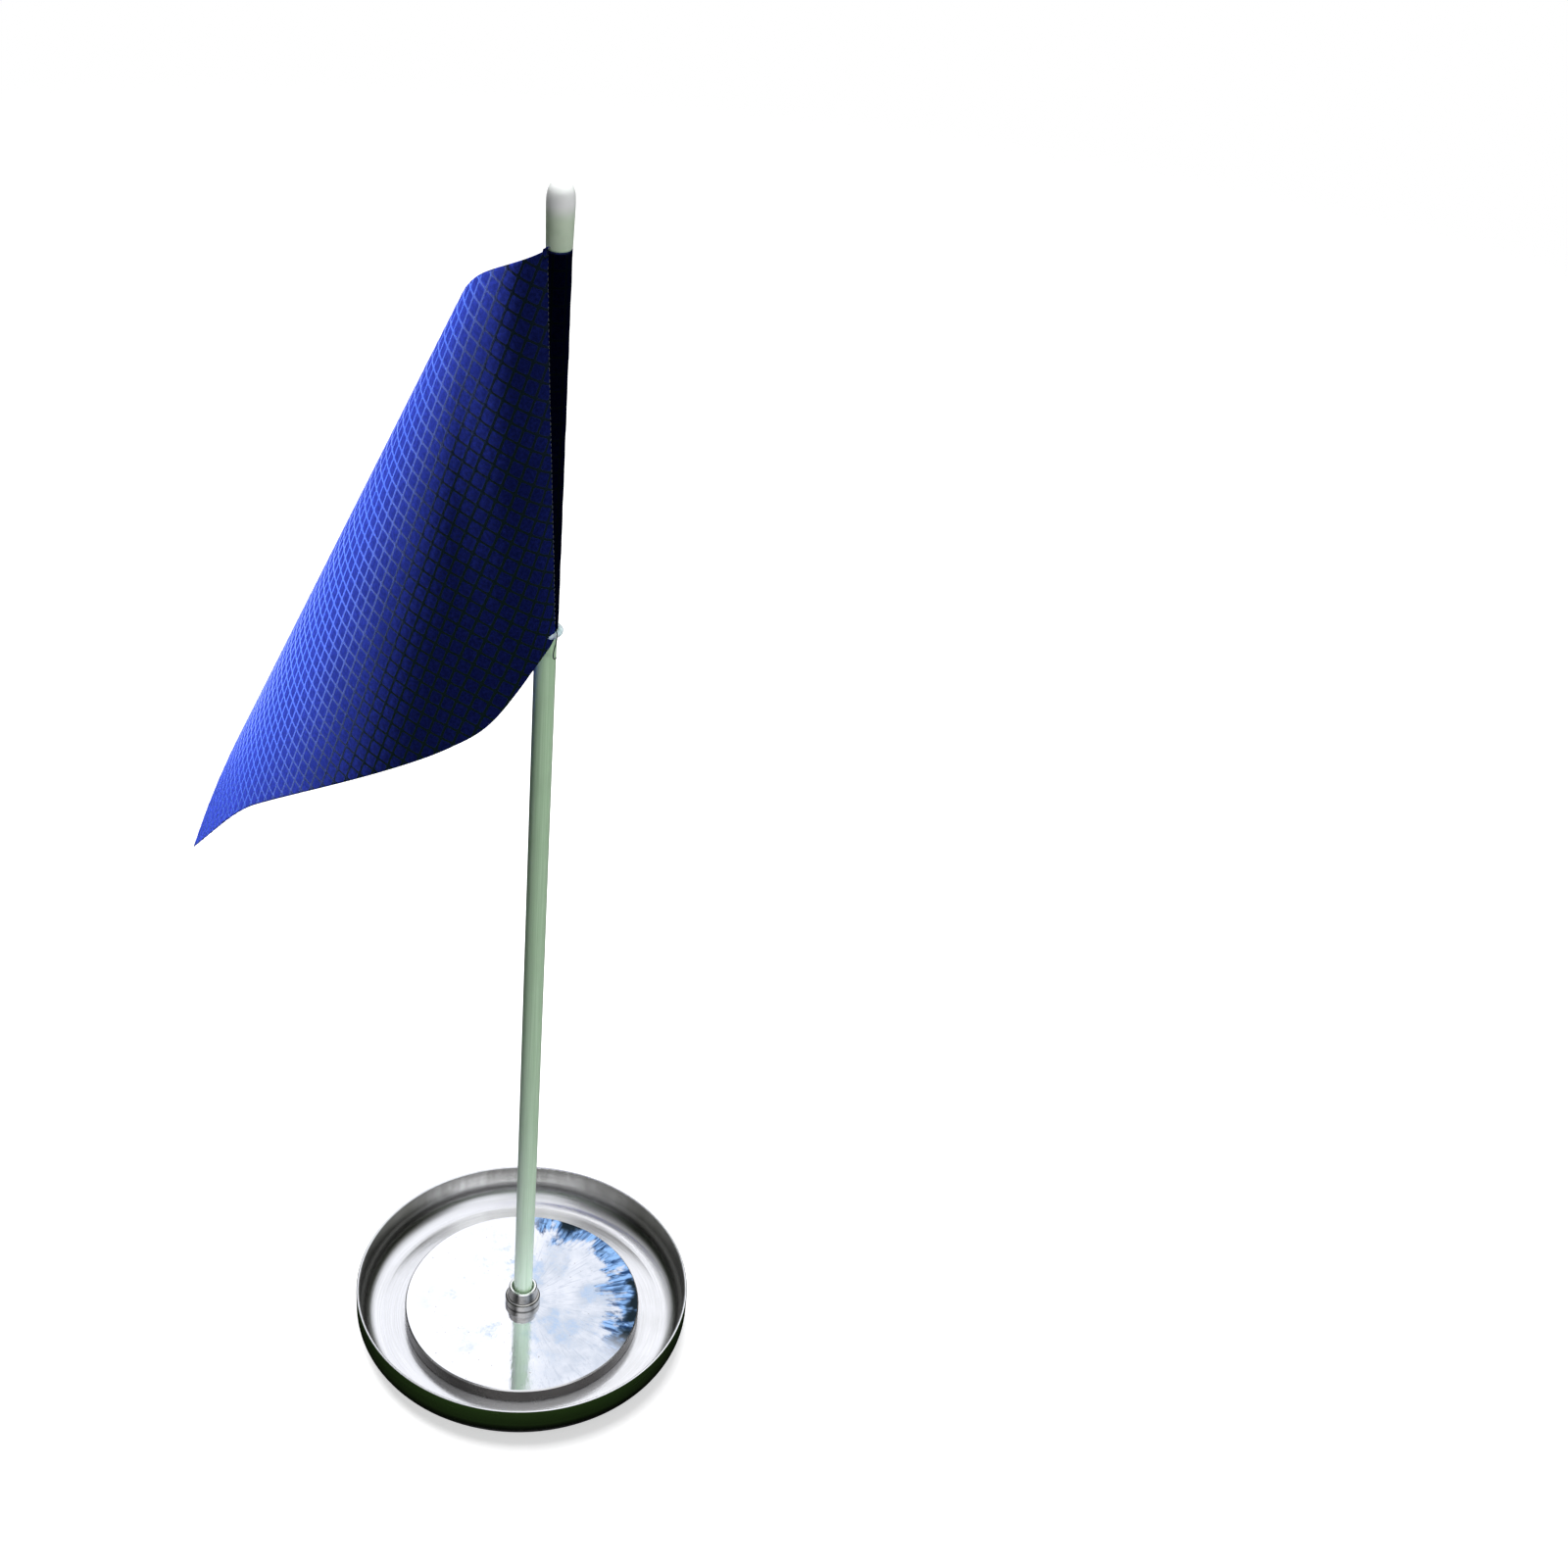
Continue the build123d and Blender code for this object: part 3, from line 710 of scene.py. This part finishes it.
def two_sided(name, front, back, faces, uv, material):
    """A closed mesh from a sheet's two sides, joined round the free edges."""
    count = len(front)
    used = {}
    for face in faces:
        for a, b in zip(face, face[1:] + face[:1]):
            used[(a, b)] = used.get((a, b), 0) + 1
    rim = [(a, b) for (a, b) in used if (b, a) not in used]
    every = [list(face) for face in faces]
    every += [[i + count for i in reversed(face)] for face in faces]
    every += [[b, a, a + count, b + count] for a, b in rim]
    mesh = bpy.data.meshes.new(name)
    mesh.from_pydata(np.concatenate([front, back]).tolist(), [], every)
    layer = mesh.uv_layers.new(name="weave")
    corners = np.array([loop.vertex_index for loop in mesh.loops]) % count
    layer.data.foreach_set("uv", uv[corners].astype(np.float32).ravel())
    mesh.materials.append(material)
    mesh.shade_smooth()
    mesh.validate()
    made = bpy.data.objects.new(name, mesh)
    bpy.context.collection.objects.link(made)
    return made


def area(points, faces):
    """Flat area of the cut."""
    total = 0.0
    for face in faces:
        x, y = points[face, 0], points[face, 1]
        total += abs(np.dot(x, np.roll(y, -1)) - np.dot(y, np.roll(x, -1))) / 2
    return float(total)


def make_flag(material):
    """The flag itself, and the flat area of its cut."""
    flat, faces = flat_cloth()
    out, down = flat[:, 0], flat[:, 1]
    along, across = to_weave(out, down)
    cord, bulge = cord_shape(along, across)
    normal = cloth_normal(out, down)
    middle = cloth_point(out, down) + normal * (bulge * CELL_PUFF)[:, None]
    half = (CLOTH_HALF + cord * CORD_PROUD)[:, None]
    uv = np.stack([along, across], 1)
    flag = two_sided("flag", middle + normal * half, middle - normal * half, faces, uv, material)
    return flag, area(flat, faces)


def make_sleeve(material):
    """Tube of the same cloth round the rod, pinched out where the seam closes it."""
    inner, outer, uv = [], [], []
    for i in range(SLEEVE_RINGS + 1):
        share = i / SLEEVE_RINGS
        down = HOIST * share
        seam = between(SEAM_TURN, share)
        for k in range(SLEEVE_SPOKES):
            turn = math.tau * k / SLEEVE_SPOKES
            off = (turn - seam + math.pi) % math.tau - math.pi
            pinch = PINCH * math.exp(-(off / PINCH_SPREAD) ** 2)
            lobes = math.sin(CREASE_LOBES * turn + CREASE_TWIST * share)
            crease = CREASE * lobes * math.sin(CREASE_WAVES * share)
            z = SLEEVE_TOP - down
            direction = np.array([-math.cos(turn), -math.sin(turn), 0])
            outer.append(direction * (SLEEVE_OUTER + pinch + crease) + (0, 0, z))
            inner.append(direction * (SLEEVE_INNER + pinch / 2) + (0, 0, z))
            uv.append((down, SLEEVE_UNROLLED * turn))
    faces = []
    for i in range(SLEEVE_RINGS):
        here, below = i * SLEEVE_SPOKES, (i + 1) * SLEEVE_SPOKES
        for k in range(SLEEVE_SPOKES):
            after = (k + 1) % SLEEVE_SPOKES
            faces.append([here + k, here + after, below + after, below + k])
    return two_sided("sleeve", np.array(outer), np.array(inner), faces, np.array(uv), material)


def make_stitches(material):
    """One lock stitch after another along the sewn line, each a small rounded bar."""
    points, faces = [], []
    sides, rows = STITCH_SIDES, len(STITCH_PROFILE)
    for i in range(int((HOIST - STITCH_MARGIN) / STITCH_PITCH)):
        down = np.array([STITCH_START + i * STITCH_PITCH])
        centre = Vector(seam_point(down, STITCH_LINE)[0])
        ahead = Vector(seam_point(down + STITCH_AIM, STITCH_LINE)[0])
        way = (ahead - centre).normalized()
        out = Vector((centre.x, centre.y, 0)).normalized()
        side = way.cross(out).normalized()
        out = side.cross(way)
        length = STITCH_LENGTH * random.uniform(*STITCH_VARIES)
        base = len(points)
        for share, width in STITCH_PROFILE:
            for k in range(sides):
                turn = math.tau * k / sides
                spread = out * math.cos(turn) * STITCH_FLATNESS + side * math.sin(turn)
                points.append(centre + way * share * length + spread * STITCH_RADIUS * width)
        for row in range(rows - 1):
            first = base + row * sides
            for k in range(sides):
                a = first + k
                b = first + (k + 1) % sides
                faces.append([a, b, b + sides, a + sides])
        faces.append([base + k for k in reversed(range(sides))])
        faces.append([base + (rows - 1) * sides + k for k in range(sides)])
    mesh = bpy.data.meshes.new("stitches")
    mesh.from_pydata([tuple(p) for p in points], [], faces)
    mesh.materials.append(material)
    mesh.shade_smooth()
    made = bpy.data.objects.new("stitches", mesh)
    bpy.context.collection.objects.link(made)
    return made


def make_tab(material):
    """The turned-in corner of the cloth that stands up beside the cap."""
    front, back, uv = [], [], []
    start = Vector(seam_point(np.array([0.0]))[0]) + TAB_FOOT
    for i in range(TAB_ROWS + 1):
        v = i / TAB_ROWS
        for k in range(TAB_COLUMNS + 1):
            u = k / TAB_COLUMNS
            reach = TAB_WIDTH * (u - 0.5)
            place = start + Vector((
                -reach * TAB_SPREAD[0] - TAB_BULGE * math.sin(TAB_FOLD * v),
                -reach * TAB_SPREAD[1],
                TAB_RISE * math.sin(TAB_RISE_TURN * v) + TAB_WAVE * math.sin(TAB_WAVES * u),
            ))
            front.append(place + TAB_FACING * TAB_HALF)
            back.append(place - TAB_FACING * TAB_HALF)
            uv.append((u * TAB_WIDTH, v * TAB_LENGTH))
    width = TAB_COLUMNS + 1
    faces = [
        [i * width + k, i * width + k + 1, (i + 1) * width + k + 1, (i + 1) * width + k]
        for i in range(TAB_ROWS) for k in range(TAB_COLUMNS)
    ]
    return two_sided("corner_fold", np.array(front), np.array(back), faces, np.array(uv), material)


def make_thread(material):
    """Loose end of the seam's thread, hanging in front of the rod."""
    curve = bpy.data.curves.new("thread_end", "CURVE")
    curve.dimensions = "3D"
    curve.bevel_depth = THREAD_RADIUS
    curve.bevel_resolution = 3
    spline = curve.splines.new("NURBS")
    spline.points.add(len(THREAD_PATH) - 1)
    for point, (x, y, z) in zip(spline.points, THREAD_PATH):
        point.co = (x * MM, y * MM, SLEEVE_BASE + z * MM, 1)
    spline.order_u = 3
    spline.use_endpoint_u = True
    curve.use_fill_caps = True
    curve.materials.append(material)
    made = bpy.data.objects.new("thread_end", curve)
    bpy.context.collection.objects.link(made)
    return made


RIPSTOP = ripstop("ripstop", *FLAG_CLOTH)
# The sleeve gets a darker copy of the same ripstop: painted shade.
SHADED_HEM = ripstop("ripstop_painted_shade", *SHADED_HEM_CLOTH)
flag, flag_area = make_flag(RIPSTOP)
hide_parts("flag_panel")
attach(flag, "flag")

sleeve = make_sleeve(SHADED_HEM)
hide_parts("flag_sleeve")
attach(sleeve, "flag")

stitches = make_stitches(sewing_thread("seam_thread", *SEAM_THREAD))
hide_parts("hoist_seam")
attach(stitches, "flag")

corner = make_tab(RIPSTOP)
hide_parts("corner_tab")
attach(corner, "flag")

thread = make_thread(sewing_thread("loose_thread", *LOOSE_THREAD))
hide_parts("thread_tail")
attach(thread, "flag")


# ------------------------------------------------------------------ stage
def make_world():
    """A pale surround to look at. What shows in the part's steel is an open sky overhead and
    at the back, dim in front but for a wide gap, over dark growth low down all round. The sky
    lights matt surfaces from behind only, and less."""
    world = bpy.data.worlds.new("world")
    world.use_nodes = True
    bpy.context.scene.world = world
    t = Nodes(world.node_tree)
    shown = t.tree.nodes["Background"]
    shown.inputs[0].default_value = WHITE
    x, y, z = t.parts(t.node("TexCoord").outputs["Generated"])
    light_path = t.node("LightPath")
    matt = light_path.outputs["Is Diffuse Ray"]
    front = t.remap(y, -0.55, 0.15, 0.12, 1.0)
    gap = t.math("MULTIPLY", t.remap(x, -0.55, -0.25), t.remap(x, 0.80, 0.50))
    glossy = t.math("MAXIMUM", front, gap)
    diffuse = t.remap(y, 0.1, 0.8, 0.0, 0.5)
    glossy = t.math("MULTIPLY", glossy, t.remap(x, -0.5, -0.2, 0.5, 1.0))
    level = t.mix(matt, glossy, diffuse)
    sky = t.mix(level, (0, 0, 0, 1), SKY)
    low = t.mix(t.remap(x, -0.4, 0.9), GROWTH_LEFT, GROWTH_RIGHT)
    low = t.mix(matt, low, GROWTH_FOR_MATT)
    around = t.mix(t.remap(z, 0.30, 0.62), low, sky)
    lighting = t.node("Background")
    t.feed(lighting.inputs[0], around)
    mix = t.node("MixShader")
    t.feed(mix.inputs[0], light_path.outputs["Is Camera Ray"])
    t.feed(mix.inputs[1], lighting.outputs[0])
    t.feed(mix.inputs[2], shown.outputs[0])
    t.feed(t.tree.nodes["World Output"].inputs[0], mix.outputs[0])


def make_floor():
    """Pale to look at. It gives the part's steel the look of dark turf, with a painted shadow that makes
    it nearly black by the cup.
    """
    mesh = bpy.data.meshes.new("floor")
    corners = ((-1, -1), (1, -1), (1, 1), (-1, 1))
    mesh.from_pydata([(x * FLOOR_HALF, y * FLOOR_HALF, 0) for x, y in corners], [], [(0, 1, 2, 3)])
    floor = bpy.data.objects.new("floor", mesh)
    bpy.context.collection.objects.link(floor)
    t = Tree("floor")
    x, y, _ = t.parts(t.place())
    far = t.math("SQRT", t.math("MULTIPLY_ADD", x, x, t.math("MULTIPLY", y, y)))
    t.set(Base_Color=FLOOR_PALE, Roughness=0.9)
    t.set(Emission_Color=WHITE, Emission_Strength=0.6)
    grass = t.mix(t.remap(far, *CUP_SHADOW), TURF_SHADED, TURF)
    light_path = t.node("LightPath")
    turf = t.node("BsdfDiffuse")
    t.feed(turf.inputs[0], t.mix(light_path.outputs["Is Diffuse Ray"], grass, TURF_SHADED))
    by_ray = t.node("MixShader")
    t.feed(by_ray.inputs[0], light_path.outputs["Is Camera Ray"])
    t.feed(by_ray.inputs[1], turf.outputs[0])
    t.feed(by_ray.inputs[2], t.shader.outputs[0])
    fade = t.node("MixShader")
    t.feed(fade.inputs[0], t.remap(far, *FLOOR_FADE))
    t.feed(fade.inputs[1], by_ray.outputs[0])
    t.feed(fade.inputs[2], t.node("BsdfTransparent").outputs[0])
    t.feed(t.tree.nodes["Material Output"].inputs[0], fade.outputs[0])
    mesh.materials.append(t.material)
    return floor


def add_light(name, lamp, target, lit, colour=(1, 1, 1)):
    """A round soft lamp for the pieces in lit only, unseen in their gloss."""
    place, size, power = lamp
    data = bpy.data.lights.new(name, "AREA")
    data.shape = "DISK"
    data.size = size
    data.energy = power
    data.color = colour
    light = bpy.data.objects.new(name, data)
    light.location = place
    light.rotation_mode = "QUATERNION"
    light.rotation_quaternion = (Vector(target) - Vector(place)).to_track_quat("-Z", "Y")
    light.visible_camera = False
    light.visible_glossy = False
    bpy.context.collection.objects.link(light)
    receivers = bpy.data.collections.new("lit_by_" + name)
    for piece in lit:
        receivers.objects.link(piece)
    light.light_linking.receiver_collection = receivers
    return light


def add_glare(name, turn, ring, share):
    """A stretch of pale ground behind the flag's free side. Only the gloss of its cords shows it."""
    distance, shift, height, size = ring
    east, north = math.cos(math.radians(turn)), math.sin(math.radians(turn))
    place = (distance * east + shift, distance * north, height)
    power = share * GLARE * (math.pi * size / 2) ** 2
    glare = add_light(name, (place, size, power), GLARE_AIM, [flag, corner])
    glare.visible_diffuse = False
    glare.visible_glossy = True


make_world()
floor = make_floor()
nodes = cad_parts
cloth = [flag, sleeve, corner, stitches, thread]
stick = [nodes[name] for name in ("flagstick_rod", "end_cap", "stop_ring")]
base = [nodes[name] for name in ("cup_pan", "weight_disc", "socket_collar", "base_screw", "foot_pad")]
middle = (cad_box[0] + cad_box[1]) / 2
add_light("key", KEY, middle, cloth)
add_light("behind", BEHIND, middle, cloth)
add_light("fill", FILL, middle, stick)
add_light("overhead", OVERHEAD, (0, 0, 0), stick + base + [floor])
add_light("bounce", BOUNCE, (0, 0, 1), stick, BOUNCE_COLOUR)
for turn, share in GLARE_TURNS:
    add_glare(f"far_glare_{turn}", turn, FAR_GLARE, share)
    add_glare(f"near_glare_{turn}", turn, NEAR_GLARE, share)
bpy.context.scene.view_settings.view_transform = "Standard"
